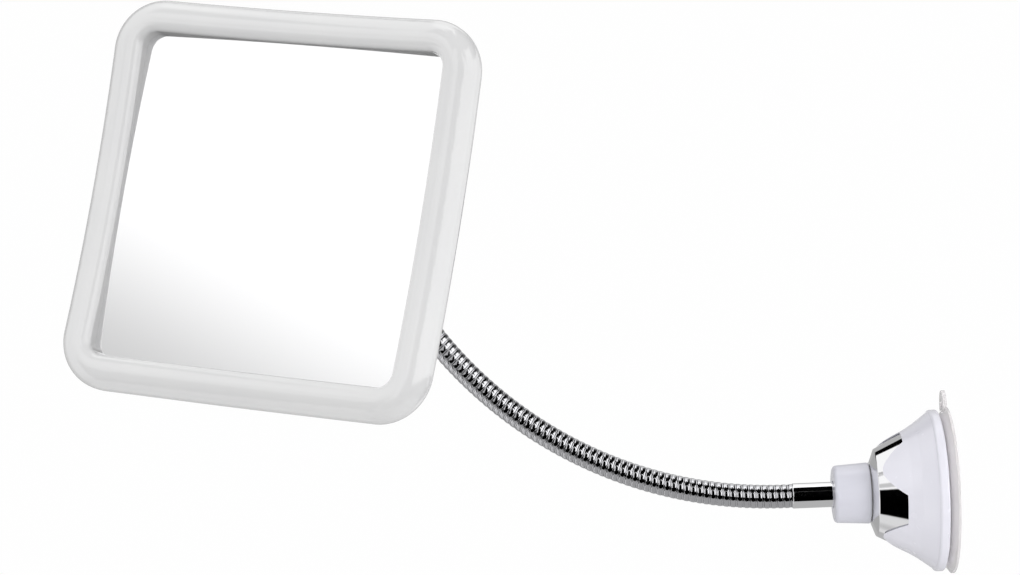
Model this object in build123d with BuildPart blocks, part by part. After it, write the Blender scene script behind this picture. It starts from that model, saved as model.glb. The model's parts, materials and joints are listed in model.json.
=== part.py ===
from build123d import *
from math import acos, asin, atan, cos, degrees, hypot, radians, sin, tan
import os

# Shower mirror on a gooseneck with a screw-tightened suction cup. Millimetres.
# The origin is the centre of the cup's sealing face. The wall is the plane X = 0,
# the part lies on its -X side, +Z is up and the mirror looks towards -Y.

# Clearances
fit = 0.1
free_gap = 0.3
overrun = 1.0

# Suction cup
cup_radius = 35.0
cup_seal_width = 5.0
cup_edge_height = 1.0
cup_neck_radius = 31.0
cup_neck_height = 3.9
cup_back_radius = 28.0
cup_back_height = 4.9
cup_boss_radius = 11.0
cup_boss_roof = 2.4
cup_boss_floor = 2.4
cup_root_radius = 12.5
cup_root_height = 6.4
cavity_height = 2.8
cavity_roof_radius = 9.0
tab_width = 12.0
tab_length = 7.0
tab_thickness = 1.6
tab_pip_radius = 1.2
tab_pip_height = 0.6

# Stud
stud_radius = 4.0
stud_flats = 6.8
anchor_radius = 8.0
anchor_thickness = 2.8
stud_travel = 2.5
spigot_radius = 3.0
spigot_length = 9.0

# Pressure cover
rim_radius = 34.0
rim_start = 4.3
rim_end = 7.9
rim_round = 1.3
rim_step = 0.5
cover_wall = 2.0
cover_shoulder_radius = 28.4
cover_shoulder_height = 14.6
cover_neck_height = 18.4
web_thickness = 2.6
lobe_count = 4
lobe_turn = 30.0
lobe_wall = 0.8
lobe_reach = 29.7
window_depth = 20.5
lobe_half_angle = 30.0
lobe_tip_radius = 19.95
lobe_tip_round = 12.0
lobe_flank_reach_share = 1.3

# Chrome cone
cone_base_radius = 24.8
cone_base_height = 19.3
cone_skirt_height = 17.5
cone_rim_radius = 18.35
cone_rim_height = 31.7
cone_face_radius = 13.0
cone_face_height = 33.7
cone_wall = 1.6
cone_edge_round = 0.6
cone_boss_radius = 2.8

# Cone screws
screw_radius = 1.5
screw_head_radius = 2.7
screw_head_height = 1.7
screw_length = 12.0
screw_circle_radius = 15.2
screw_slot_width = 0.8
screw_slot_depth = 0.8

# Lock knob, its insert and washer
knob_back_radius = 12.9
knob_front_radius = 12.0
knob_end = 49.2
knob_round = 1.6
insert_radius = 7.5
insert_length = 10.0
insert_collar_radius = 9.0
insert_collar_thickness = 1.5
washer_radius = 11.0
washer_bore_radius = 5.4
washer_thickness = 1.2

# Ferrules
ferrule_radius = 5.3
ferrule_back = 48.0
ferrule_end = 66.5
ferrule_round = 0.5
head_ferrule_length = 18.0

# Gooseneck: straight lead, an arc in the vertical plane, then an arc towards the viewer
lead_length = 3.6
rise_radius = 179.5
rise_angle = 53.3
curl_radius = 67.9
curl_roll = -10.1
link_count = 10
ribs_per_link = 9
rib_pitch = 2.8
rib_crest_radius = 5.0
rib_root_radius = 4.45
rib_crest_share = 0.45
rib_slope_share = 0.12
hose_bore_radius = 2.6
nose_radius = 4.1
nose_fit = 0.15
neck_bend_limit = 14.0
tail_length = 9.0

# Head: placed on the end of the gooseneck
glass_distance = 50.7
head_roll = -7.8
head_size = 160.0
head_corner = 21.0
head_thickness = 16.4
dish_radius = 690.0
dish_rise = 1.2
front_round = 8.0
back_round = 7.0
bezel_border = 13.75
opening_size = head_size - 2 * bezel_border
opening_corner = 6.0
lip_round = 3.6
bezel_back = 5.0
bezel_wall = 2.4
border_hollow = 1.5
plate_overlap = 2.75
plate_size = opening_size + 2 * plate_overlap
plate_thickness = 3.0
plate_corner = 8.0
plate_rib = 1.6
pad_inset = 9.0
pad_size = plate_size - 2 * pad_inset
pad_thickness = 1.0
pad_corner = 8.0
support_inset = 3.0
support_wall = 2.0
gasket_inset = 0.3
gasket_width = 1.8
gasket_thickness = 1.1
shell_wall = 2.4

# Ball joint on the back of the head
ball_radius = 7.0
ball_distance = 29.0
ball_fit = 0.1
ball_shank_radius = 3.2
ball_tilt_limit = 20.0
mouth_spare_angle = 3.0
liner_wall = 1.9
socket_wall = 2.6
socket_roof = 2.4
socket_skirt = 2.2
nut_wall = 2.6
nut_lip = 1.2
nut_grip = 4.0
nut_notch_count = 12
nut_notch_radius = 1.2
tail_radius = 2.6
clip_groove_depth = 0.6
clip_width = 2.0
clip_thickness = 0.8
clip_mouth = 2.6

# Cover screws, two to a side
cover_screw_radius = 1.5
cover_screw_head_radius = 2.7
cover_screw_head_height = 1.4
cover_screw_length = 6.5
cover_screw_side = 40.0
cover_screw_seat = 2.8
cover_post_radius = 3.0
cover_post_inset = 7.7

os.makedirs("parts", exist_ok=True)
made = []


def save(part, label):
    part.label = label
    made.append(label)
    export_step(part, f"parts/{label}.step")
    print(label, round(part.volume), len(part.solids()))


def outline(points):
    """A closed outline in the plane that holds the cup's axis: (height off the wall, radius)."""
    Polygon(*[(-height, radius) for height, radius in points], align=None)


def across(height):
    """The plane across the cup's axis at a height off the wall, facing away from the wall."""
    return Plane((-height, 0, 0), x_dir=(0, -1, 0), z_dir=(-1, 0, 0))


def spun(vector, axis, angle):
    return Vector(*vector).rotate(Axis((0, 0, 0), tuple(axis)), angle)


# The gooseneck's line: a straight lead, the rise, then the curl
hose_length = link_count * ribs_per_link * rib_pitch
hose_start = Vector(-ferrule_end, 0, 0)
rise_start = hose_start + Vector(-lead_length, 0, 0)
rise_length = radians(rise_angle) * rise_radius
rise_centre = rise_start + Vector(0, 0, rise_radius)
rise_end = rise_centre + spun((0, 0, -rise_radius), (0, 1, 0), rise_angle)
rise_direction = spun((-1, 0, 0), (0, 1, 0), rise_angle)
rise_normal = spun((0, 0, 1), (0, 1, 0), rise_angle)
curl_inward = Vector(0, -cos(radians(curl_roll)), 0) + rise_normal * sin(radians(curl_roll))
curl_normal = rise_direction.cross(curl_inward)
curl_centre = rise_end + curl_inward * curl_radius


def along(distance):
    """The plane across the hose at a distance along it, with an X axis that doesn't twist."""
    if distance <= lead_length:
        return Plane(hose_start + Vector(-distance, 0, 0), x_dir=(0, 1, 0), z_dir=(-1, 0, 0))
    if distance <= lead_length + rise_length:
        angle = degrees((distance - lead_length) / rise_radius)
        point = rise_centre + spun((0, 0, -rise_radius), (0, 1, 0), angle)
        return Plane(point, x_dir=(0, 1, 0), z_dir=spun((-1, 0, 0), (0, 1, 0), angle))
    angle = degrees((distance - lead_length - rise_length) / curl_radius)
    point = curl_centre + spun(curl_inward * -curl_radius, curl_normal, angle)
    side = spun((0, 1, 0), curl_normal, angle)
    return Plane(point, x_dir=side, z_dir=spun(rise_direction, curl_normal, angle))


# The head's frame: its origin is the centre of the mirror's face, z comes out of the mirror
end_plane = along(hose_length)
facing = end_plane.z_dir
upright = Vector(0, 0, 1) - facing * facing.Z
upright = spun(upright.normalized(), facing, head_roll)
rightward = upright.cross(facing)
head_plane = Plane(end_plane.origin + facing * glass_distance, x_dir=rightward, z_dir=facing)
outward = Axis(tuple(head_plane.origin), tuple(facing))


def head_level(depth):
    """The plane across the head at a depth behind the mirror's face."""
    return head_plane.offset(-depth)


def head_form(inset, front, back):
    """The head's outer form between two depths, with its whole surface moved in by an inset.
    Its front is dished and its back domed, about one centre in front of the mirror."""
    side = head_size - 2 * inset
    reach = head_thickness + overrun
    sphere_centre = head_level(-dish_rise - dish_radius)
    with BuildPart() as form:
        with BuildSketch(head_level(reach)):
            RectangleRounded(side, side, head_corner - inset)
        extrude(amount=2 * reach)
        with Locations(sphere_centre):
            Sphere(dish_radius + head_thickness - inset, mode=Mode.INTERSECT)
            Sphere(dish_radius + inset, mode=Mode.SUBTRACT)
        caps = form.faces().filter_by(GeomType.SPHERE).sort_by(outward)
        fillet(caps[-1].edges(), front_round - inset)
        caps = form.faces().filter_by(GeomType.SPHERE).sort_by(outward)
        fillet(caps[0].edges(), back_round - inset)
        with BuildSketch(head_level(back)):
            Rectangle(head_size, head_size)
        extrude(amount=back - front, mode=Mode.INTERSECT)
    return form.part


# Suction cup, with a pocket in its boss where the stud's anchor has its travel
pocket_floor = cavity_height + cup_boss_floor
pocket_roof = pocket_floor + anchor_thickness + stud_travel + 2 * free_gap
cup_boss_height = pocket_roof + cup_boss_roof
with BuildPart() as suction_cup:
    with BuildSketch(Plane.XZ):
        outline([
            (0, cup_radius - cup_seal_width),
            (0, cup_radius),
            (cup_edge_height, cup_radius),
            (cup_neck_height, cup_neck_radius),
            (cup_back_height, cup_back_radius),
            (cup_root_height, cup_root_radius),
            (cup_boss_height, cup_boss_radius),
            (cup_boss_height, stud_radius + free_gap),
            (pocket_roof, stud_radius + free_gap),
            (pocket_roof, anchor_radius + free_gap),
            (pocket_floor, anchor_radius + free_gap),
            (pocket_floor, 0),
            (cavity_height, 0),
            (cavity_height, cavity_roof_radius),
        ])
    revolve(axis=Axis.X)
    tab_centre = cup_radius + tab_length - tab_width / 2
    tab_root = cup_radius - cup_seal_width / 2
    with BuildSketch(across(cup_edge_height / 2)):
        with Locations((0, tab_root)):
            Rectangle(tab_width, tab_centre - tab_root, align=(Align.CENTER, Align.MIN))
        with Locations((0, tab_centre)):
            Circle(tab_width / 2)
    extrude(amount=tab_thickness)
    with BuildSketch(across(cup_edge_height / 2 + tab_thickness)):
        with Locations((0, tab_centre)):
            Circle(tab_pip_radius)
    extrude(amount=tab_pip_height)
save(suction_cup.part, "suction_cup")

# Stud, with its anchor in the cup's boss and two flats that keep the mirror from turning
anchor_start = pocket_floor + free_gap
anchor_end = anchor_start + anchor_thickness
with BuildPart() as cup_stud:
    with BuildSketch(across(anchor_start)):
        Circle(anchor_radius)
    extrude(amount=anchor_thickness)
    with BuildSketch(across(anchor_end)):
        Circle(stud_radius)
        Rectangle(2 * stud_radius, stud_flats, mode=Mode.INTERSECT)
    extrude(amount=ferrule_back - anchor_end)
    with BuildSketch(across(ferrule_back)):
        Circle(spigot_radius)
    extrude(amount=spigot_length)
    chamfer(cup_stud.faces().sort_by(Axis.X)[0].edges(), (stud_radius - spigot_radius) / 2)
save(cup_stud.part, "cup_stud")

# Chrome cone
cone_slope = (cone_base_radius - cone_rim_radius) / (cone_rim_height - cone_base_height)


def cone_radius(height):
    return cone_base_radius - cone_slope * (height - cone_base_height)


face_wall_height = cone_rim_height - cone_wall
with BuildPart() as chrome_cone:
    with BuildSketch(Plane.XZ):
        outline([
            (cone_skirt_height, cone_base_radius),
            (cone_base_height, cone_base_radius),
            (cone_rim_height, cone_rim_radius),
            (cone_face_height, cone_face_radius),
            (cone_face_height, 0),
            (face_wall_height, 0),
            (face_wall_height, cone_radius(face_wall_height) - cone_wall),
            (cone_base_height, cone_base_radius - cone_wall),
            (cone_skirt_height, cone_base_radius - cone_wall),
        ])
    revolve(axis=Axis.X)
    with BuildSketch(across(cone_skirt_height)):
        with PolarLocations(screw_circle_radius, lobe_count, start_angle=lobe_turn):
            Circle(cone_boss_radius)
    extrude(amount=face_wall_height - cone_skirt_height)
    with BuildSketch(across(cone_skirt_height)):
        with PolarLocations(screw_circle_radius, lobe_count, start_angle=lobe_turn):
            Circle(screw_radius + fit)
    extrude(amount=screw_length, mode=Mode.SUBTRACT)
    with BuildSketch(across(face_wall_height)):
        Circle(stud_radius + fit)
        Rectangle(2 * stud_radius + overrun, stud_flats + 2 * fit, mode=Mode.INTERSECT)
    extrude(amount=cone_face_height, mode=Mode.SUBTRACT)
    rim_edges = chrome_cone.edges().filter_by(GeomType.CIRCLE)
    rim_edges = rim_edges.filter_by(lambda edge: abs(edge.radius - cone_rim_radius) < fit)
    fillet(rim_edges, cone_edge_round)
save(chrome_cone.part, "chrome_cone")

# Pressure cover: a shell with a web under the chrome cone and four lobes that lie on it
web_start = cone_skirt_height - web_thickness
lobe_base_radius = cone_radius(window_depth) + lobe_wall
lobe_tips = [*PolarLocations(lobe_tip_radius, lobe_count, lobe_turn)]
lobe_starts = [*PolarLocations(lobe_base_radius, lobe_count, lobe_turn - lobe_half_angle)]
lobe_ends = [*PolarLocations(lobe_base_radius, lobe_count, lobe_turn + lobe_half_angle)]
window_corners = []
for tip, start, end in zip(lobe_tips, lobe_starts, lobe_ends):
    before = tip.position + (start.position - tip.position) * lobe_flank_reach_share
    after = tip.position + (end.position - tip.position) * lobe_flank_reach_share
    window_corners += [before, tip.position, after]
with BuildPart() as pressure_cover:
    with BuildSketch(Plane.XZ):
        outline([
            (rim_start, cup_neck_radius + rim_step),
            (rim_start, rim_radius - rim_step),
            (rim_start + rim_step, rim_radius),
            (rim_end, rim_radius),
            (rim_end + rim_step, rim_radius - 2 * rim_step),
            (cover_shoulder_height, cover_shoulder_radius),
            (cover_neck_height, cone_radius(cover_neck_height) + lobe_wall),
            (lobe_reach, cone_radius(lobe_reach) + lobe_wall),
            (lobe_reach, cone_radius(lobe_reach) + fit),
            (cone_base_height, cone_base_radius + fit),
            (cone_skirt_height, cone_base_radius + fit),
            (cone_skirt_height, cup_boss_radius + free_gap),
            (web_start, cup_boss_radius + free_gap),
            (web_start, cover_shoulder_radius - cover_wall),
            (rim_end, rim_radius - rim_step - 2 * cover_wall),
        ])
    revolve(axis=Axis.X)
    round_edges = pressure_cover.edges().filter_by(GeomType.CIRCLE)
    round_edges = round_edges.filter_by(lambda edge: abs(edge.radius - rim_radius) < fit)
    fillet(round_edges.sort_by(Axis.X)[-1], rim_step)
    fillet(round_edges.sort_by(Axis.X)[0], rim_round)
    with BuildSketch(across(cover_neck_height)) as windows:
        Polygon(*window_corners, align=None)
        tips = windows.vertices().filter_by(lambda tip: hypot(tip.X, tip.Y) < lobe_tip_radius + fit)
        fillet(tips, lobe_tip_round)
        Circle(lobe_base_radius, mode=Mode.INTERSECT)
    extrude(amount=lobe_reach, mode=Mode.SUBTRACT)
    with BuildSketch(across(web_start)):
        with PolarLocations(screw_circle_radius, lobe_count, start_angle=lobe_turn):
            Circle(screw_radius + fit)
    extrude(amount=web_thickness, mode=Mode.SUBTRACT)
save(pressure_cover.part, "pressure_cover")

# Four screws from behind the web into the cone's bosses
with BuildPart() as cone_screws:
    with BuildSketch(across(web_start - screw_head_height)):
        with PolarLocations(screw_circle_radius, lobe_count, start_angle=lobe_turn):
            Circle(screw_head_radius)
    extrude(amount=screw_head_height)
    with BuildSketch(across(web_start)):
        with PolarLocations(screw_circle_radius, lobe_count, start_angle=lobe_turn):
            Circle(screw_radius)
    extrude(amount=screw_length)
    with BuildSketch(across(web_start - screw_head_height)):
        with PolarLocations(screw_circle_radius, lobe_count, start_angle=lobe_turn):
            Rectangle(2 * screw_head_radius, screw_slot_width)
    extrude(amount=screw_slot_depth, mode=Mode.SUBTRACT)
save(cone_screws.part, "cone_screws")

# Thrust washer on the cone's face
with BuildPart() as thrust_washer:
    with BuildSketch(across(cone_face_height)):
        Circle(washer_radius)
        Circle(washer_bore_radius, mode=Mode.SUBTRACT)
    extrude(amount=washer_thickness)
save(thrust_washer.part, "thrust_washer")

# Lock knob
knob_start = cone_face_height + free_gap
washer_top = cone_face_height + washer_thickness
collar_start = washer_top + fit
insert_start = collar_start + insert_collar_thickness
insert_end = insert_start + insert_length
with BuildPart() as lock_knob:
    with BuildSketch(Plane.XZ):
        outline([
            (knob_start, washer_radius + free_gap),
            (knob_start, knob_back_radius),
            (knob_end, knob_front_radius),
            (knob_end, ferrule_radius + free_gap),
            (insert_end, ferrule_radius + free_gap),
            (insert_end, insert_radius),
            (insert_start, insert_radius),
            (insert_start, insert_collar_radius),
            (collar_start, insert_collar_radius),
            (collar_start, washer_radius + free_gap),
        ])
    revolve(axis=Axis.X)
    knob_edges = lock_knob.edges().filter_by(GeomType.CIRCLE)
    knob_edges = knob_edges.filter_by(lambda edge: edge.radius > knob_front_radius - fit)
    fillet(knob_edges.sort_by(Axis.X)[0], knob_round)
    fillet(knob_edges.sort_by(Axis.X)[-1], knob_round / 2)
save(lock_knob.part, "lock_knob")

# Brass insert in the knob, which draws the stud
with BuildPart() as knob_nut:
    with BuildSketch(across(collar_start)):
        Circle(insert_collar_radius)
    extrude(amount=insert_collar_thickness)
    with BuildSketch(across(insert_start)):
        Circle(insert_radius)
    extrude(amount=insert_length)
    with BuildSketch(across(collar_start)):
        Circle(stud_radius + fit)
    extrude(amount=insert_end, mode=Mode.SUBTRACT)
save(knob_nut.part, "knob_nut")

# Ferrule that joins the stud to the gooseneck
with BuildPart() as base_ferrule:
    with BuildSketch(across(ferrule_back)):
        Circle(ferrule_radius)
    extrude(amount=ferrule_end - ferrule_back)
    with BuildSketch(across(ferrule_back)):
        Circle(spigot_radius)
    extrude(amount=spigot_length, mode=Mode.SUBTRACT)
    with BuildSketch(across(ferrule_end - tail_length)):
        Circle(rib_root_radius)
    extrude(amount=tail_length, mode=Mode.SUBTRACT)
    ferrule_edges = base_ferrule.edges().filter_by(GeomType.CIRCLE)
    ferrule_edges = ferrule_edges.filter_by(lambda edge: edge.radius > ferrule_radius - fit)
    fillet(ferrule_edges.sort_by(Axis.X)[0], ferrule_round)
save(base_ferrule.part, "base_ferrule")


# Gooseneck: links of ribbed hose, each with a round nose in the next link's socket
link_length = ribs_per_link * rib_pitch
bend_swing = rib_crest_radius * sin(radians(neck_bend_limit))
joint_gap = (bend_swing + free_gap) / cos(radians(neck_bend_limit))


def rib_rings(first, pitch, count):
    """The circles of the ribs: up to the crest, along it, down to the root, along the root."""
    rings = []
    for rib in range(count):
        start = first + rib * pitch
        rings.append((start, rib_crest_radius))
        rings.append((start + rib_crest_share * pitch, rib_crest_radius))
        rings.append((start + (rib_crest_share + rib_slope_share) * pitch, rib_root_radius))
        rings.append((start + (1 - rib_slope_share) * pitch, rib_root_radius))
    return rings


def hose_link(index):
    """One link: from the hinge behind it to the hinge ahead, with bore, socket and nose."""
    start = index * link_length
    end = start + link_length
    first_link = index == 0
    last_link = index == link_count - 1
    body_start = start if first_link else start + joint_gap
    pitch = (end - body_start) / (ribs_per_link - 1 + rib_crest_share)
    rings = rib_rings(body_start, pitch, ribs_per_link)[:-2]
    bore_steps = ribs_per_link
    with BuildPart() as link:
        for distance, radius in rings:
            with BuildSketch(along(distance)):
                Circle(radius)
        loft(ruled=True)
        if first_link:
            with BuildSketch(along(start)):
                Circle(rib_root_radius - fit)
            extrude(amount=fit - tail_length)
        else:
            with Locations(along(start)):
                Sphere(nose_radius + nose_fit, mode=Mode.SUBTRACT)
        if last_link:
            with BuildSketch(along(end)):
                Circle(rib_root_radius - fit)
            extrude(amount=tail_length - fit)
        else:
            with Locations(along(end)):
                Sphere(nose_radius)
        reach = tail_length + overrun
        for step in range(bore_steps + 1):
            share = step / bore_steps
            with BuildSketch(along(start + share * link_length)):
                Circle(hose_bore_radius)
        loft(ruled=True, mode=Mode.SUBTRACT)
        with BuildSketch(along(end)):
            Circle(hose_bore_radius)
        extrude(amount=reach, mode=Mode.SUBTRACT)
        if first_link:
            with BuildSketch(along(start)):
                Circle(hose_bore_radius)
            extrude(amount=-reach, mode=Mode.SUBTRACT)
    return link.part


for index in range(link_count):
    save(hose_link(index), f"neck_link_{index + 1:02d}")

# Ferrule at the head's end of the gooseneck, and the ball stud that turns in it
clip_start = tail_length + clip_thickness
clip_end = clip_start + clip_thickness
shoulder = clip_end + fit
with BuildPart() as head_ferrule:
    with BuildSketch(along(hose_length)):
        Circle(ferrule_radius)
    extrude(amount=head_ferrule_length)
    with BuildSketch(along(hose_length)):
        Circle(rib_root_radius)
    extrude(amount=shoulder, mode=Mode.SUBTRACT)
    with BuildSketch(along(hose_length)):
        Circle(tail_radius + fit)
    extrude(amount=head_ferrule_length, mode=Mode.SUBTRACT)
    ferrule_front = head_ferrule.faces().sort_by(Axis(end_plane.origin, facing))[-1]
    fillet(ferrule_front.outer_wire().edges(), ferrule_round)
save(head_ferrule.part, "head_ferrule")

ball_plane = end_plane.offset(ball_distance)
shank_start = head_ferrule_length + free_gap
with BuildPart() as ball_stud:
    with Locations(ball_plane):
        Sphere(ball_radius)
    with BuildSketch(end_plane.offset(shank_start)):
        Circle(ball_shank_radius)
    extrude(amount=ball_distance - shank_start)
    with BuildSketch(end_plane.offset(tail_length + fit)):
        Circle(tail_radius)
    extrude(amount=shank_start - tail_length - fit)
    with BuildSketch(end_plane.offset(clip_start - fit)):
        Circle(tail_radius)
        Circle(tail_radius - clip_groove_depth, mode=Mode.SUBTRACT)
    extrude(amount=clip_thickness + 2 * fit, mode=Mode.SUBTRACT)
save(ball_stud.part, "ball_stud")

# Circlip in the tail's groove, open on one side
clip_inner = tail_radius - clip_groove_depth + fit
with BuildPart() as stud_circlip:
    with BuildSketch(end_plane.offset(clip_start)):
        Circle(clip_inner + clip_width)
        Circle(clip_inner, mode=Mode.SUBTRACT)
        clip_reach = 2 * clip_inner + 2 * clip_width
        Rectangle(clip_mouth, clip_reach, align=(Align.CENTER, Align.MIN), mode=Mode.SUBTRACT)
    extrude(amount=clip_thickness)
save(stud_circlip.part, "stud_circlip")

# Friction liner round the ball
liner_inner = ball_radius + ball_fit
liner_outer = ball_radius + liner_wall
socket_inner = liner_outer + ball_fit
both_tilts = degrees(acos(cos(radians(ball_tilt_limit)) ** 2))
liner_mouth = degrees(asin(ball_shank_radius / liner_inner)) + ball_tilt_limit + mouth_spare_angle
socket_mouth = degrees(asin(ball_shank_radius / socket_inner)) + both_tilts + mouth_spare_angle


# The plane through the ball's centre that holds the head's axis, which is its Y axis
ball_section = Plane(ball_plane.origin, x_dir=rightward, z_dir=rightward.cross(facing))
ball_axis = Axis(tuple(ball_plane.origin), tuple(facing))


def mouth_wedge(half_angle, reach):
    """Half of the section of a cone that opens from the ball's centre towards the gooseneck."""
    Polygon((0, 0), (0, -reach), (reach * tan(radians(half_angle)), -reach), align=None, mode=Mode.SUBTRACT)


with BuildPart() as ball_liner:
    with BuildSketch(ball_section):
        Circle(liner_outer)
        Circle(liner_inner, mode=Mode.SUBTRACT)
        Rectangle(2 * liner_outer, 2 * liner_outer, align=(Align.MAX, Align.CENTER), mode=Mode.SUBTRACT)
        mouth_wedge(liner_mouth, 2 * liner_outer)
    revolve(axis=ball_axis)
save(ball_liner.part, "ball_liner")

# Front bezel: a pillowed border, a lip over the plate's edge and posts for the screws
cover_front = bezel_back + gasket_thickness
far_front = -head_thickness
far_back = head_thickness + overrun
post_line = head_size / 2 - cover_post_inset
screw_reach = hypot(post_line, cover_screw_side)
screw_turn = degrees(atan(cover_screw_side / post_line))
screw_rings = [*PolarLocations(screw_reach, 4, screw_turn), *PolarLocations(screw_reach, 4, -screw_turn)]
screw_places = [place.position for place in screw_rings]


def beside_opening(edge):
    middle = head_plane.to_local_coords(edge.center())
    return max(abs(middle.X), abs(middle.Y)) < opening_size / 2 + fit


with BuildPart() as border_space:
    add(head_form(bezel_wall, -border_hollow, far_back))
    with BuildSketch(head_level(plate_thickness)):
        frame_size = plate_size + 2 * plate_rib
        RectangleRounded(frame_size, frame_size, plate_corner + plate_rib)
    extrude(amount=plate_thickness + border_hollow, mode=Mode.SUBTRACT)
with BuildPart() as front_bezel:
    add(head_form(0, far_front, bezel_back))
    with BuildSketch(head_level(bezel_back)):
        RectangleRounded(opening_size, opening_size, opening_corner)
    extrude(amount=bezel_back + head_thickness, mode=Mode.SUBTRACT)
    dish = front_bezel.faces().filter_by(GeomType.SPHERE).sort_by(SortBy.AREA)[-1]
    fillet(dish.edges().filter_by(beside_opening), lip_round)
    add(border_space.part, mode=Mode.SUBTRACT)
    with BuildSketch(head_level(bezel_back)):
        RectangleRounded(plate_size + 2 * fit, plate_size + 2 * fit, plate_corner + fit)
    extrude(amount=bezel_back, mode=Mode.SUBTRACT)
    with BuildSketch(head_level(cover_front)):
        with Locations(*screw_places):
            Circle(cover_post_radius)
    extrude(amount=cover_front + border_hollow)
    with BuildSketch(head_level(cover_front)):
        with Locations(*screw_places):
            Circle(cover_screw_radius + fit)
    extrude(amount=cover_screw_length + free_gap, mode=Mode.SUBTRACT)
save(front_bezel.part, "front_bezel")

# Mirror plate and the foam pad behind it
with BuildPart() as mirror_plate:
    with BuildSketch(head_level(plate_thickness)):
        RectangleRounded(plate_size, plate_size, plate_corner)
    extrude(amount=plate_thickness)
save(mirror_plate.part, "mirror_plate")

pad_back = plate_thickness + pad_thickness
with BuildPart() as foam_pad:
    with BuildSketch(head_level(pad_back)):
        RectangleRounded(pad_size, pad_size, pad_corner)
    extrude(amount=pad_thickness)
save(foam_pad.part, "foam_pad")

# Gasket between the bezel's back edge and the rear cover
with BuildPart() as gasket:
    add(head_form(gasket_inset, bezel_back, cover_front))
    add(head_form(gasket_inset + gasket_width, bezel_back, cover_front), mode=Mode.SUBTRACT)
save(gasket.part, "gasket")

# Rear cover: the domed back, the wall that carries the pad, the screws' seats and the socket's boss
ball_depth = glass_distance - ball_distance
boss_radius = socket_inner + socket_wall
dome_top = ball_depth - socket_inner - socket_roof
support_size = pad_size - 2 * support_inset
seat_depth = cover_front + cover_screw_seat
with BuildPart() as cover_supports:
    with BuildSketch(head_level(far_back)):
        RectangleRounded(support_size, support_size, pad_corner)
        inner_support = support_size - 2 * support_wall
        RectangleRounded(inner_support, inner_support, pad_corner - support_wall, mode=Mode.SUBTRACT)
    extrude(amount=far_back - pad_back)
    with BuildSketch(head_level(far_back)):
        with Locations(*screw_places):
            Circle(cover_post_radius)
    extrude(amount=far_back - cover_front)
    add(head_form(shell_wall / 2, far_front, far_back), mode=Mode.INTERSECT)
with BuildPart() as rear_cover:
    add(head_form(0, cover_front, far_back))
    add(head_form(shell_wall, far_front, far_back), mode=Mode.SUBTRACT)
    add(cover_supports.part)
    with BuildSketch(head_level(ball_depth + socket_skirt)):
        Circle(boss_radius)
    extrude(amount=ball_depth + socket_skirt - dome_top)
    with Locations(ball_plane):
        Sphere(socket_inner, mode=Mode.SUBTRACT)
    with BuildSketch(head_level(ball_depth + socket_skirt)):
        Circle(socket_inner)
    extrude(amount=socket_skirt, mode=Mode.SUBTRACT)
    with BuildSketch(head_level(far_back)):
        with Locations(*screw_places):
            Circle(cover_screw_head_radius + fit)
    extrude(amount=far_back - seat_depth, mode=Mode.SUBTRACT)
    with BuildSketch(head_level(seat_depth)):
        with Locations(*screw_places):
            Circle(cover_screw_radius + fit)
    extrude(amount=cover_screw_seat, mode=Mode.SUBTRACT)
save(rear_cover.part, "rear_cover")

# Nut that closes the socket on the liner, with grip notches
lip_start = socket_skirt + fit
mouth_depth = socket_inner * cos(radians(socket_mouth))
nut_back = mouth_depth + nut_lip
nut_front = lip_start - nut_grip
nut_radius = boss_radius + nut_wall
with BuildPart() as socket_nut:
    with BuildSketch(ball_section):
        Polygon(
            (0, -nut_back),
            (nut_radius, -nut_back),
            (nut_radius, -nut_front),
            (boss_radius + fit, -nut_front),
            (boss_radius + fit, -lip_start),
            (0, -lip_start),
            align=None,
        )
        Circle(socket_inner, mode=Mode.SUBTRACT)
        mouth_wedge(socket_mouth, 2 * socket_inner)
    revolve(axis=ball_axis)
    with BuildSketch(ball_plane.offset(-nut_back)):
        with PolarLocations(nut_radius, nut_notch_count):
            Circle(nut_notch_radius)
    extrude(amount=nut_back - nut_front, mode=Mode.SUBTRACT)
save(socket_nut.part, "socket_nut")

# Screws through the rear cover into the bezel's posts
with BuildPart() as cover_screws:
    with BuildSketch(head_level(seat_depth + cover_screw_head_height)):
        with Locations(*screw_places):
            Circle(cover_screw_head_radius)
    extrude(amount=cover_screw_head_height)
    with BuildSketch(head_level(seat_depth)):
        with Locations(*screw_places):
            Circle(cover_screw_radius)
    extrude(amount=cover_screw_seat + cover_screw_length)
    with BuildSketch(head_level(seat_depth + cover_screw_head_height)):
        with Locations(*screw_places):
            Rectangle(cover_screw_head_radius, screw_slot_width)
            Rectangle(screw_slot_width, cover_screw_head_radius)
    extrude(amount=screw_slot_depth, mode=Mode.SUBTRACT)
save(cover_screws.part, "cover_screws")

print(len(made), "parts, hose length", round(hose_length, 1))
print("head centre", head_plane.origin, "facing", facing, "rightward", rightward)
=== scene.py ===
import json
import math

import bpy
from mathutils import Matrix, Quaternion, Vector


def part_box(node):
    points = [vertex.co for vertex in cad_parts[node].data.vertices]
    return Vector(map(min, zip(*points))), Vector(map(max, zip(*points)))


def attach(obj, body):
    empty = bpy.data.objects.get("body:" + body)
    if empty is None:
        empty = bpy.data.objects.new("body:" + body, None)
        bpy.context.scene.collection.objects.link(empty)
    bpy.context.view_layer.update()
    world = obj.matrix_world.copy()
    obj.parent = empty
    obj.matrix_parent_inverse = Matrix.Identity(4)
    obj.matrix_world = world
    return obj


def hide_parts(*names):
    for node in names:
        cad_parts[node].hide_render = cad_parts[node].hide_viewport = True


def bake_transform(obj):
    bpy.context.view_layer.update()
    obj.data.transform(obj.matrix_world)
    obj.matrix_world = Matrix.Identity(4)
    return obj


# Shower mirror on a gooseneck with a suction cup. Metres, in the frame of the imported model:
# the wall is the plane X = 0, +Z is up and the mirror looks towards -Y.

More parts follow.
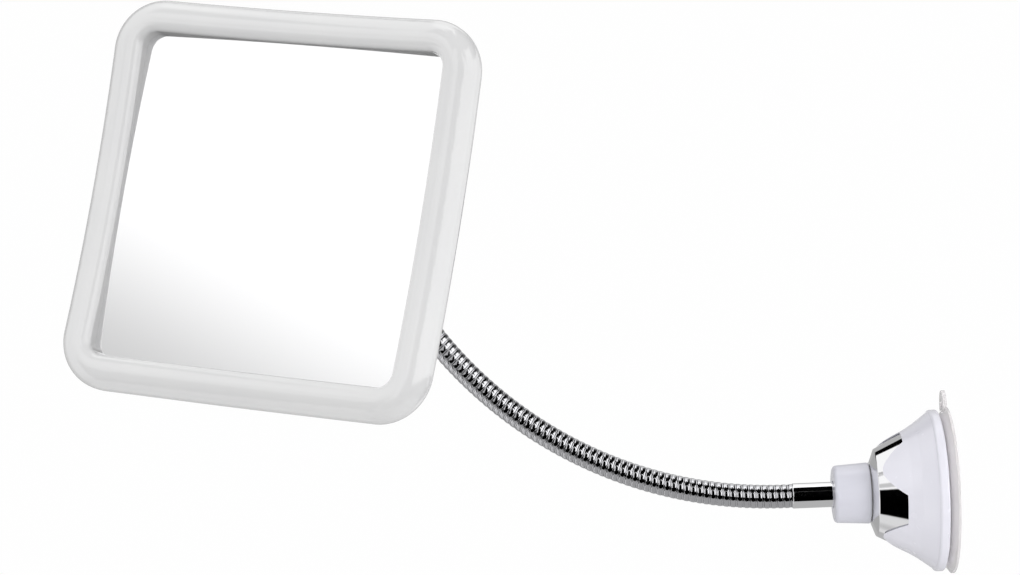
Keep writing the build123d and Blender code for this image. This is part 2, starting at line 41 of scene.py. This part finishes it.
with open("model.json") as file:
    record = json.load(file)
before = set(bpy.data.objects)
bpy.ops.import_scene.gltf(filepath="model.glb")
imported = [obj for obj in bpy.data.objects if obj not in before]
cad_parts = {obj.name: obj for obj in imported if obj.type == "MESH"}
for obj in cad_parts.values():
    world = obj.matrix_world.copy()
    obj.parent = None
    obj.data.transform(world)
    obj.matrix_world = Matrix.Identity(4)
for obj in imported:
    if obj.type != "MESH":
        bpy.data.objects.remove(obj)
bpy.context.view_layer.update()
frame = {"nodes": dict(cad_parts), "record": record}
nodes = frame["nodes"]
scene = bpy.context.scene
mm = 0.001

# The photograph's camera
photo_width = 1020
photo_centre = (510.0, 287.5)
focal_pixels = 3200.0
sensor_width = 36.0
camera_distance = 1350.0 * mm
camera_roll = math.radians(2.3)
camera_clip = (0.05, 50.0)
base_pixel = (949.5, 489.7)

# Floor. It fades out between two distances from its centre.
floor_height = -0.11
floor_centre = (-0.18, 0.0)
floor_fade = (0.4, 0.78)
floor_tone = (0.93, 0.93, 0.93)
floor_tint = 1.01
floor_tint_scale = 3.0
floor_roughness = 0.8

# Soft light of the tent, weaker from below, and the tone of the background
soft_light = 0.78
soft_from_below = 0.48
soft_edge = (-0.6, 0.1)
background_tone = 0.995

# Lamps: place, point aimed at, width and height, watts
lamp_target = (-0.15, 0, 0.05)
key_lamp = ((-0.9, -0.7, 1.1), lamp_target, (0.9, 0.9), 4.0)
fill_lamp = ((0.9, -0.9, 0.3), lamp_target, (0.8, 0.8), 4.2)
bounce_lamp = ((0.35, -0.45, -0.09), (0, 0, -0.02), (0.3, 0.15), 0.06)
bounce_spread = math.radians(40)

# Moulded plastics: name, tint from and to, roughness from and to, weight of the gloss coat
plastics = {
    "white_frame": ("frame_white", (0.75, 0.75, 0.755), (0.77, 0.77, 0.77), (0.1, 0.16), 0.6),
    "white_cover": ("cover_white", (0.77, 0.765, 0.835), (0.80, 0.795, 0.86), (0.22, 0.3), 0.35),
    "white_knob": ("knob_white", (0.66, 0.66, 0.73), (0.69, 0.69, 0.76), (0.28, 0.36), 0.35),
    "nylon": ("nylon_natural", (0.8, 0.8, 0.76), (0.84, 0.84, 0.8), (0.4, 0.5), 0.35),
    "foam": ("closed_cell_foam", (0.05, 0.05, 0.055), (0.08, 0.08, 0.085), (0.8, 0.95), 0.35),
    "gasket_rubber": ("silicone_grey", (0.45, 0.45, 0.46), (0.5, 0.5, 0.51), (0.5, 0.6), 0.35),
}
plastic_coat_roughness = 0.06
plastic_ior = 1.5
plastic_tint_scale = 28.0
plastic_roughness_scale = 190.0
orange_peel_scale = 420.0
orange_peel_depth = 0.02 * mm
orange_peel_strength = 0.08

# Polished metals: name, colour, roughness from and to
metals = {
    "chrome": ("chrome_plate", (0.86, 0.86, 0.87), (0.03, 0.07)),
    "hose_chrome": ("wire_chrome", (0.6, 0.6, 0.62), (0.05, 0.11)),
    "steel": ("plated_steel", (0.6, 0.6, 0.61), (0.25, 0.38)),
    "brass": ("turned_brass", (0.75, 0.56, 0.26), (0.2, 0.35)),
}
metal_roughness_scale = 240.0
metal_roughness_stretch = (1, 6, 6)
buffing_scale = 900.0
buffing_stretch = (1, 8, 8)
buffing_depth = 0.004 * mm
buffing_strength = 0.3

# Mirror coating
mirror_tone = (0.97, 0.97, 0.975)
mirror_metallic = 0.94
mirror_roughness = (0.0, 0.006)
mirror_roughness_scale = 60.0

# Clear soft plastic of the suction cup
clear_tone = (0.98, 0.955, 0.965)
clear_transmission = 0.35
clear_coat = 0.5
clear_ior = 1.45
clear_roughness = (0.03, 0.08)
clear_roughness_scale = 120.0
ripple_scale = 260.0
ripple_depth = 0.03 * mm
ripple_strength = 0.4

# Detail of the noise behind tints, roughness and relief, and the part of it where a tint changes
tint_detail = 4.0
roughness_detail = 3.0
fine_relief_detail = 2.0
ripple_detail = 3.0
tint_change = (0.35, 0.65)

# The studio that shiny surfaces reflect: white walls with dark and grey patches. Angles are in
# degrees, and azimuth is 0 towards the viewer and positive to the right. Three values are the
# low end, the high end and the softness of a range, and two are the start and end of an edge.
studio_white = 1.08
brighter_by = 0.6
window_azimuth = (8.0, 110.0, 4.0)
window_elevation = (-20.0, 46.0, 4.0)
overhead_edge = (68.0, 76.0)

# Patches between two azimuths and two elevations: darkness, azimuth, elevation
upper_band = (1.0, (-60.0, 125.0, 6.0), (42.0, 72.0, 3.0))
lower_band = (1.0, (-40.0, 140.0, 6.0), (-42.0, -9.0, 4.0))
grey_left = (0.4, (-55.0, -12.0, 6.0), (-50.0, -14.0, 4.0))
right_behind = (0.9, (85.0, 150.0, 6.0), (20.0, 62.0, 4.0))
left_behind = (0.6, (-165.0, -115.0, 10.0), (-45.0, 38.0, 10.0))

# Dark slot and dark oval in front, both crossed by a thin strip light. X and Z are parts of 1.
strip_elevation = (40.0, 42.5, 1.0)
slot_x = (-0.08, 0.2, 0.05)
slot_elevation = (-35.0, 84.0, 4.0)
slot_front_edge = (-0.02, 0.02)
oval_middle_x = 0.05
oval_half_width = 0.32
oval_half_height = 0.62
oval_edge = (0.85, 1.15)
oval_front_edge = (0.0, 0.1)

# Dark arcs round the viewer's direction, one above it and one below
upper_arc_off_front = (40.0, 72.0, 3.0)
upper_arc_azimuth = (-32.0, 40.0, 6.0)
upper_arc_edge = (12.0, 20.0)
lower_arc_off_front = (14.0, 50.0, 3.0)
lower_arc_azimuth = (-22.0, 30.0, 6.0)
lower_arc_edge = (-14.0, -8.0)

# Dark patch on the left, whose right edge moves left by a share of the elevation towards the floor
dark_left_azimuth = (-66.0, -27.0, 5.0)
dark_left_elevation = (-44.0, 8.0, 3.0)
dark_left_lean = 0.475
dark_left_edge = (-36.5, -31.5)

# Black and grey rings round the direction behind, the black one only on the upper left
black_behind_off_back = (40.0, 58.0, 3.0)
black_behind_azimuth = (-172.0, -128.0, 8.0)
black_behind_edge = (0.0, 10.0)
grey_behind_off_back = (6.0, 40.0, 4.0)
grey_behind_darkness = 0.55

# Grey floor, paler in a gap on the left
floor_darkness = 0.54
floor_edge = (-38.0, -32.0)
gap_azimuth = (-150.0, -62.0, 10.0)
gap_edge = (-62.0, -56.0)
gap_paler_by = 0.5

# Grey corner that the mirror shows at rest, below a sloping line through a point
corner_darkness = 0.42
corner_azimuth = (-58.0, -38.0, 4.0)
corner_elevation = (12.0, 26.0, 4.0)
corner_line_point = (-50.69, 21.4)
corner_line_slope = -0.359
corner_line_edge = (-0.4, 3.0)

# Gooseneck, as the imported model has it
link_count = 10
ribs_per_link = 9
rib_pitch = 2.8 * mm
hose_radius = 5.0 * mm
lead_length = 3.6 * mm
rise_radius = 179.5 * mm
rise_angle = math.radians(53.3)
curl_radius = 67.9 * mm
curl_roll = math.radians(-10.1)

# Wires of the gooseneck, and the length by which they reach into each ferrule
hose_tail = 2.0 * mm
round_wire_radius = 0.6 * mm
round_wire_sink = 0.14 * mm
round_wire_sides = 12
flat_wire_width = 2.0 * mm
flat_wire_depth = 1.6 * mm
flat_wire_crown = 0.15 * mm
flat_wire_crown_power = 4
flat_wire_facets = 6
segments_per_turn = 36
sharp_angle = math.radians(40)


# Camera

def make_camera():
    """The photograph's camera, which looks along +Y and sees the base at its pixel."""
    right = Vector((math.cos(camera_roll), 0, -math.sin(camera_roll)))
    up = Vector((math.sin(camera_roll), 0, math.cos(camera_roll)))
    back = Vector((0, -1, 0))
    across = (base_pixel[0] - photo_centre[0]) / focal_pixels * camera_distance
    above = (photo_centre[1] - base_pixel[1]) / focal_pixels * camera_distance
    place = back * camera_distance - right * across - up * above
    data = bpy.data.cameras.new("photo_camera")
    data.sensor_width = sensor_width
    data.lens = focal_pixels / photo_width * sensor_width
    data.clip_start, data.clip_end = camera_clip
    camera = bpy.data.objects.new("photo_camera", data)
    camera.matrix_world = Matrix((
        (right.x, up.x, back.x, place.x),
        (right.y, up.y, back.y, place.y),
        (right.z, up.z, back.z, place.z),
        (0, 0, 0, 1),
    ))
    scene.collection.objects.link(camera)
    scene.camera = camera


# Materials

class Shader:
    """A material's node tree with the Principled shader, and short calls to add to it."""

    def __init__(self, name, color, roughness, metallic=0.0, **inputs):
        self.material = bpy.data.materials.new(name)
        self.material.use_nodes = True
        self.tree = self.material.node_tree
        self.shader = self.tree.nodes["Principled BSDF"]
        self.shader.inputs["Base Color"].default_value = (*color, 1)
        self.shader.inputs["Roughness"].default_value = roughness
        self.shader.inputs["Metallic"].default_value = metallic
        for key, value in inputs.items():
            self.shader.inputs[key.replace("_", " ")].default_value = value

    def node(self, kind, **settings):
        made = self.tree.nodes.new(kind)
        for key, value in settings.items():
            setattr(made, key, value)
        return made

    def link(self, source, target):
        self.tree.links.new(source, target)

    def noise(self, scale, detail, stretch=(1, 1, 1)):
        place = self.node("ShaderNodeTexCoord")
        stretched = self.node("ShaderNodeMapping")
        stretched.inputs["Scale"].default_value = stretch
        made = self.node("ShaderNodeTexNoise")
        made.inputs["Scale"].default_value = scale
        made.inputs["Detail"].default_value = detail
        self.link(place.outputs["Object"], stretched.inputs["Vector"])
        self.link(stretched.outputs["Vector"], made.inputs["Vector"])
        return made.outputs["Fac"]

    def vary_roughness(self, scale, low, high, stretch=(1, 1, 1)):
        made = self.node("ShaderNodeMapRange")
        made.inputs["To Min"].default_value = low
        made.inputs["To Max"].default_value = high
        self.link(self.noise(scale, roughness_detail, stretch), made.inputs["Value"])
        self.link(made.outputs["Result"], self.shader.inputs["Roughness"])

    def vary_color(self, scale, first, second):
        ramp = self.node("ShaderNodeValToRGB")
        for stop, position, color in zip(ramp.color_ramp.elements, tint_change, (first, second)):
            stop.position = position
            stop.color = (*color, 1)
        self.link(self.noise(scale, tint_detail), ramp.inputs["Fac"])
        self.link(ramp.outputs["Color"], self.shader.inputs["Base Color"])

    def bump(self, value, distance, strength):
        made = self.node("ShaderNodeBump")
        made.inputs["Distance"].default_value = distance
        made.inputs["Strength"].default_value = strength
        self.link(value, made.inputs["Height"])
        self.link(made.outputs["Normal"], self.shader.inputs["Normal"])


def moulded_plastic(name, first, second, roughness, coat):
    """Injection-moulded plastic with a faint flow tint and orange peel."""
    made = Shader(
        name,
        first,
        roughness[0],
        Coat_Weight=coat,
        Coat_Roughness=plastic_coat_roughness,
        IOR=plastic_ior,
    )
    made.vary_color(plastic_tint_scale, first, second)
    made.vary_roughness(plastic_roughness_scale, *roughness)
    relief = made.noise(orange_peel_scale, fine_relief_detail)
    made.bump(relief, orange_peel_depth, orange_peel_strength)
    return made.material


def polished_metal(name, color, roughness):
    """Plated or turned metal with faint buffing marks."""
    made = Shader(name, color, roughness[0], metallic=1.0)
    made.vary_roughness(metal_roughness_scale, *roughness, stretch=metal_roughness_stretch)
    relief = made.noise(buffing_scale, fine_relief_detail, buffing_stretch)
    made.bump(relief, buffing_depth, buffing_strength)
    return made.material


def mirror_coating():
    """The silvered plate, with the faintest smears."""
    made = Shader(
        "mirror_coating",
        mirror_tone,
        mirror_roughness[0],
        metallic=mirror_metallic,
    )
    made.vary_roughness(mirror_roughness_scale, *mirror_roughness)
    return made.material


def clear_soft_plastic():
    """The suction cup's clear plastic, with soft ripples."""
    made = Shader(
        "clear_soft_plastic",
        clear_tone,
        clear_roughness[0],
        Transmission_Weight=clear_transmission,
        Coat_Weight=clear_coat,
        IOR=clear_ior,
    )
    made.vary_roughness(clear_roughness_scale, *clear_roughness)
    made.bump(made.noise(ripple_scale, ripple_detail), ripple_depth, ripple_strength)
    return made.material


def make_materials():
    made = {slot: moulded_plastic(*values) for slot, values in plastics.items()}
    made.update((slot, polished_metal(*values)) for slot, values in metals.items())
    made["mirror"] = mirror_coating()
    made["clear_pvc"] = clear_soft_plastic()
    return made


def dress_nodes(materials):
    slots = {entry["node"]: entry["material_slot"] for entry in frame["record"]["subparts"]}
    for name, node in nodes.items():
        node.data.materials.clear()
        node.data.materials.append(materials[slots[name]])


# Gooseneck: the hose's line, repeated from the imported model's sizes

def spun(vector, axis, angle):
    return Quaternion(axis, angle) @ vector


ferrule_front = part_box("base_ferrule")[0][0]
hose_start = Vector((ferrule_front, 0, 0))
rise_length = rise_angle * rise_radius
rise_centre = hose_start + Vector((-lead_length, 0, rise_radius))
sideways = Vector((0, 1, 0))
rise_end = rise_centre + spun(Vector((0, 0, -rise_radius)), sideways, rise_angle)
rise_direction = spun(Vector((-1, 0, 0)), sideways, rise_angle)
rise_normal = spun(Vector((0, 0, 1)), sideways, rise_angle)
curl_inward = Vector((0, -math.cos(curl_roll), 0)) + rise_normal * math.sin(curl_roll)
curl_normal = rise_direction.cross(curl_inward)
curl_centre = rise_end + curl_inward * curl_radius
link_length = ribs_per_link * rib_pitch
hose_length = link_count * link_length


def along(distance):
    """Centre, side and direction of the hose at a distance along it."""
    if distance <= lead_length:
        return hose_start + Vector((-distance, 0, 0)), sideways, Vector((-1, 0, 0))
    if distance <= lead_length + rise_length:
        angle = (distance - lead_length) / rise_radius
        centre = rise_centre + spun(Vector((0, 0, -rise_radius)), sideways, angle)
        return centre, sideways, spun(Vector((-1, 0, 0)), sideways, angle)
    if distance <= hose_length:
        angle = (distance - lead_length - rise_length) / curl_radius
        centre = curl_centre + spun(curl_inward * -curl_radius, curl_normal, angle)
        return centre, spun(sideways, curl_normal, angle), spun(rise_direction, curl_normal, angle)
    centre, side, direction = along(hose_length)
    return centre + direction * (distance - hose_length), side, direction


def wound(first, last, phase, section):
    """Vertices and faces of a wire wound round the hose's line, from one distance to another.
    section is the wire's outline: (along the hose, outwards) of each corner."""
    vertices, faces = [], []
    steps = max(2, round((last - first) / rib_pitch * segments_per_turn))
    sides = len(section)
    for step in range(steps + 1):
        distance = first + (last - first) * step / steps
        turn = 2 * math.pi * (distance / rib_pitch) + phase
        centre, side, direction = along(distance)
        outward = spun(side, direction, turn)
        for ahead, radius in section:
            vertices.append(centre + outward * radius + direction * ahead)
    for step in range(steps):
        for corner in range(sides):
            following = (corner + 1) % sides
            here, there = step * sides, (step + 1) * sides
            faces.append((here + corner, here + following, there + following, there + corner))
    faces.append(tuple(reversed(range(sides))))
    faces.append(tuple(range(steps * sides, (steps + 1) * sides)))
    return vertices, faces


def round_section():
    turns = [2 * math.pi * i / round_wire_sides for i in range(round_wire_sides)]
    middle = hose_radius - round_wire_sink - round_wire_radius
    return [(round_wire_radius * math.cos(t), middle + round_wire_radius * math.sin(t)) for t in turns]


def flat_section():
    """The wedge-shaped wire between the round turns, with a crowned outer face and a point inside."""
    half = flat_wire_width / 2
    shares = [-1 + 2 * i / flat_wire_facets for i in range(flat_wire_facets + 1)]
    drops = [flat_wire_crown * share ** flat_wire_crown_power for share in shares]
    face = [(half * share, hose_radius - drop) for share, drop in zip(shares, drops)]
    return [(0, hose_radius - flat_wire_depth)] + face[::-1]


def build_mesh(name, groups, material):
    """One smooth object from several lists of vertices and faces."""
    vertices, faces = [], []
    for more_vertices, more_faces in groups:
        shift = len(vertices)
        vertices.extend(more_vertices)
        faces.extend(tuple(index + shift for index in face) for face in more_faces)
    mesh = bpy.data.meshes.new(name)
    mesh.from_pydata([tuple(v) for v in vertices], [], faces)
    mesh.materials.append(material)
    for polygon in mesh.polygons:
        polygon.use_smooth = True
    mesh.set_sharp_from_angle(angle=sharp_angle)
    mesh.validate()
    mesh.update()
    made = bpy.data.objects.new(name, mesh)
    scene.collection.objects.link(made)
    return made


def hose_bodies():
    return ["stud"] + [f"link_{number:02d}" for number in range(2, link_count + 1)]


def make_hose(material):
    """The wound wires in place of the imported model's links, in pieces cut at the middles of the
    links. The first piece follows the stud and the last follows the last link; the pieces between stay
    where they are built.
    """
    bodies = hose_bodies()
    middles = [(k + 0.5) * link_length for k in range(link_count)]
    cuts = [-hose_tail] + middles + [hose_length + hose_tail]
    for k in range(link_count + 1):
        first, last = cuts[k], cuts[k + 1]
        wires = [
            wound(first, last, 0.0, round_section()),
            wound(first, last, math.pi, flat_section()),
        ]
        piece = build_mesh(f"gooseneck_wires_{k:02d}", wires, material)
        if k == 0:
            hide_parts("neck_link_01")
            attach(piece, bodies[0])
        elif k == link_count:
            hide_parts(f"neck_link_{link_count:02d}")
            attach(piece, bodies[-1])
        else:
            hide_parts(f"neck_link_{k:02d}", f"neck_link_{k + 1:02d}")
            along(first)[0]
            along(last)[0]
            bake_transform(piece)


# Floor and lights

def fading_floor():
    """The floor's material, which turns transparent with distance from the floor's centre."""
    made = Shader("pale_floor", floor_tone, floor_roughness)
    tinted = tuple(value * floor_tint for value in floor_tone)
    made.vary_color(floor_tint_scale, floor_tone, tinted)
    place = made.node("ShaderNodeTexCoord")
    distance = made.node("ShaderNodeVectorMath", operation="LENGTH")
    made.link(place.outputs["Object"], distance.inputs[0])
    fade = made.node("ShaderNodeMapRange", interpolation_type="SMOOTHSTEP")
    fade.inputs["From Min"].default_value = floor_fade[0]
    fade.inputs["From Max"].default_value = floor_fade[1]
    made.link(distance.outputs["Value"], fade.inputs["Value"])
    clear = made.node("ShaderNodeBsdfTransparent")
    blend = made.node("ShaderNodeMixShader")
    made.link(fade.outputs["Result"], blend.inputs[0])
    made.link(made.shader.outputs[0], blend.inputs[1])
    made.link(clear.outputs[0], blend.inputs[2])
    made.link(blend.outputs[0], made.tree.nodes["Material Output"].inputs["Surface"])
    return made.material


def make_stage():
    """A pale floor that fades into the pale background."""
    half = floor_fade[1]
    corners = [(-half, -half, 0), (half, -half, 0), (half, half, 0), (-half, half, 0)]
    mesh = bpy.data.meshes.new("floor")
    mesh.from_pydata(corners, [], [(0, 1, 2, 3)])
    mesh.materials.append(fading_floor())
    floor = bpy.data.objects.new("floor", mesh)
    floor.location = (*floor_centre, floor_height)
    floor.visible_glossy = False
    scene.collection.objects.link(floor)


def area_light(name, place, target, size, power):
    data = bpy.data.lights.new(name, "AREA")
    data.shape = "RECTANGLE"
    data.size, data.size_y = size
    data.energy = power
    light = bpy.data.objects.new(name, data)
    light.location = place
    light.rotation_euler = (Vector(target) - Vector(place)).to_track_quat("-Z", "Y").to_euler()
    scene.collection.objects.link(light)
    return light


def make_lights():
    """A large key from above on the left, a fill from the right and a small one up at the base."""
    key = area_light("key", *key_lamp)
    fill = area_light("fill", *fill_lamp)
    bounce = area_light("bounce", *bounce_lamp)
    bounce.data.spread = bounce_spread
    for light in (key, fill, bounce):
        light.visible_glossy = False
        light.visible_camera = False


# World

class WorldNodes:
    """Short calls for the arithmetic of what lies in each direction."""

    def __init__(self, tree):
        self.tree = tree

    def direction(self):
        """X, Y and Z of the direction."""
        place = self.tree.nodes.new("ShaderNodeTexCoord")
        axes = self.tree.nodes.new("ShaderNodeSeparateXYZ")
        self.tree.links.new(place.outputs["Generated"], axes.inputs[0])
        return axes.outputs

    def math(self, operation, first, second=None):
        made = self.tree.nodes.new("ShaderNodeMath")
        made.operation = operation
        for socket, value in zip(made.inputs, (first, second)):
            if value is None:
                continue
            if isinstance(value, (int, float)):
                socket.default_value = value
            else:
                self.tree.links.new(value, socket)
        return made.outputs[0]

    def rise(self, value, start, end):
        """0 up to start and 1 from end on."""
        made = self.tree.nodes.new("ShaderNodeMapRange")
        made.interpolation_type = "SMOOTHSTEP"
        made.inputs["From Min"].default_value = start
        made.inputs["From Max"].default_value = end
        self.tree.links.new(value, made.inputs["Value"])
        return made.outputs["Result"]

    def fall(self, value, start, end):
        """1 up to start and 0 from end on."""
        return self.math("SUBTRACT", 1.0, self.rise(value, start, end))

    def band(self, value, low, high, soft):
        """1 between low and high, with soft edges."""
        up = self.rise(value, low - soft / 2, low + soft / 2)
        down = self.fall(value, high - soft / 2, high + soft / 2)
        return self.math("MULTIPLY", up, down)

    def product(self, *values):
        result = values[0]
        for value in values[1:]:
            result = self.math("MULTIPLY", result, value)
        return result

    def most(self, *values):
        result = values[0]
        for value in values[1:]:
            result = self.math("MAXIMUM", result, value)
        return result


class Studio(WorldNodes):
    """The studio that shiny surfaces reflect. Each patch is its darkness, from 0 to 1."""

    def __init__(self, tree):
        super().__init__(tree)
        self.x, y, self.z = self.direction()
        self.front = self.math("MULTIPLY", y, -1.0)
        self.elevation = self.in_degrees(self.math("ARCSINE", self.z))
        self.azimuth = self.in_degrees(self.math("ARCTAN2", self.x, self.front))
        self.off_front = self.in_degrees(self.math("ARCCOSINE", self.front))
        self.off_back = self.math("SUBTRACT", 180.0, self.off_front)

    def in_degrees(self, angle):
        return self.math("MULTIPLY", angle, math.degrees(1))

    def patch(self, darkness, azimuth, elevation):
        across = self.band(self.azimuth, *azimuth)
        up = self.band(self.elevation, *elevation)
        return self.product(across, up, darkness)

    def slot_and_oval(self):
        beside_strip = self.math("SUBTRACT", 1.0, self.band(self.elevation, *strip_elevation))
        slot = self.product(
            self.band(self.x, *slot_x),
            self.band(self.elevation, *slot_elevation),
            self.rise(self.front, *slot_front_edge),
        )
        off_middle = self.math("SUBTRACT", self.x, oval_middle_x)
        across = self.math("POWER", self.math("DIVIDE", off_middle, oval_half_width), 2.0)
        upright = self.math("POWER", self.math("DIVIDE", self.z, oval_half_height), 2.0)
        oval = self.product(
            self.fall(self.math("ADD", across, upright), *oval_edge),
            self.rise(self.front, *oval_front_edge),
        )
        return self.product(self.most(slot, oval), beside_strip)

    def upper_arc(self):
        return self.product(
            self.band(self.off_front, *upper_arc_off_front),
            self.band(self.azimuth, *upper_arc_azimuth),
            self.rise(self.elevation, *upper_arc_edge),
        )

    def lower_arc(self):
        return self.product(
            self.band(self.off_front, *lower_arc_off_front),
            self.band(self.azimuth, *lower_arc_azimuth),
            self.fall(self.elevation, *lower_arc_edge),
        )

    def dark_left(self):
        shift = self.math("MULTIPLY", self.elevation, dark_left_lean)
        leaning = self.math("SUBTRACT", self.azimuth, shift)
        return self.product(
            self.band(self.azimuth, *dark_left_azimuth),
            self.fall(leaning, *dark_left_edge),
            self.band(self.elevation, *dark_left_elevation),
        )

    def black_behind(self):
        return self.product(
            self.band(self.off_back, *black_behind_off_back),
            self.band(self.azimuth, *black_behind_azimuth),
            self.rise(self.elevation, *black_behind_edge),
        )

    def grey_behind(self):
        return self.product(self.band(self.off_back, *grey_behind_off_back), grey_behind_darkness)

    def floor(self):
        gap = self.product(
            self.band(self.azimuth, *gap_azimuth),
            self.rise(self.elevation, *gap_edge),
            gap_paler_by,
        )
        below = self.fall(self.elevation, *floor_edge)
        return self.product(below, self.math("SUBTRACT", 1.0, gap), floor_darkness)

    def corner(self):
        run = self.math("SUBTRACT", self.azimuth, corner_line_point[0])
        climb = self.math("SUBTRACT", self.elevation, corner_line_point[1])
        line = self.math("MULTIPLY", run, corner_line_slope)
        below_line = self.rise(self.math("SUBTRACT", line, climb), *corner_line_edge)
        return self.product(
            below_line,
            self.patch(corner_darkness, corner_azimuth, corner_elevation),
        )

    def brightness(self):
        darkness = self.most(
            self.slot_and_oval(),
            self.upper_arc(),
            self.lower_arc(),
            self.dark_left(),
            self.black_behind(),
            self.grey_behind(),
            self.floor(),
            self.corner(),
            self.patch(*upper_band),
            self.patch(*lower_band),
            self.patch(*grey_left),
            self.patch(*right_behind),
            self.patch(*left_behind),
        )
        window = self.patch(1.0, window_azimuth, window_elevation)
        overhead = self.rise(self.elevation, *overhead_edge)
        more = self.product(self.most(window, overhead), brighter_by)
        bright = self.math("ADD", studio_white, more)
        return self.product(self.math("SUBTRACT", 1.0, darkness), bright)


def soft_brightness(tree):
    """The tent's soft light, weaker from below."""
    made = WorldNodes(tree)
    above = made.rise(made.direction()["Z"], *soft_edge)
    more = made.product(above, soft_light - soft_from_below)
    return made.math("ADD", more, soft_from_below)


def mixed(tree, share, first, second):
    """The first shader, and the second one for rays where share is 1."""
    made = tree.nodes.new("ShaderNodeMixShader")
    for source, socket in zip((share, first, second), made.inputs):
        tree.links.new(source, socket)
    return made.outputs[0]


def make_world():
    """Soft light on everything, the studio in shiny surfaces and a pale background."""
    world = bpy.data.worlds.new("studio")
    scene.world = world
    world.use_nodes = True
    tree = world.node_tree
    soft = tree.nodes["Background"]
    soft.inputs["Color"].default_value = (1, 1, 1, 1)
    tree.links.new(soft_brightness(tree), soft.inputs["Strength"])
    seen = tree.nodes.new("ShaderNodeBackground")
    seen.inputs["Color"].default_value = (background_tone, background_tone, background_tone, 1)
    shiny = tree.nodes.new("ShaderNodeBackground")
    tree.links.new(Studio(tree).brightness(), shiny.inputs["Color"])
    rays = tree.nodes.new("ShaderNodeLightPath").outputs
    light = mixed(tree, rays["Is Glossy Ray"], soft.outputs[0], shiny.outputs[0])
    whole = mixed(tree, rays["Is Camera Ray"], light, seen.outputs[0])
    tree.links.new(whole, tree.nodes["World Output"].inputs["Surface"])


def main():
    scene.view_settings.view_transform = "Standard"
    make_camera()
    materials = make_materials()
    dress_nodes(materials)
    make_hose(materials["hose_chrome"])
    make_stage()
    make_lights()
    make_world()


main()
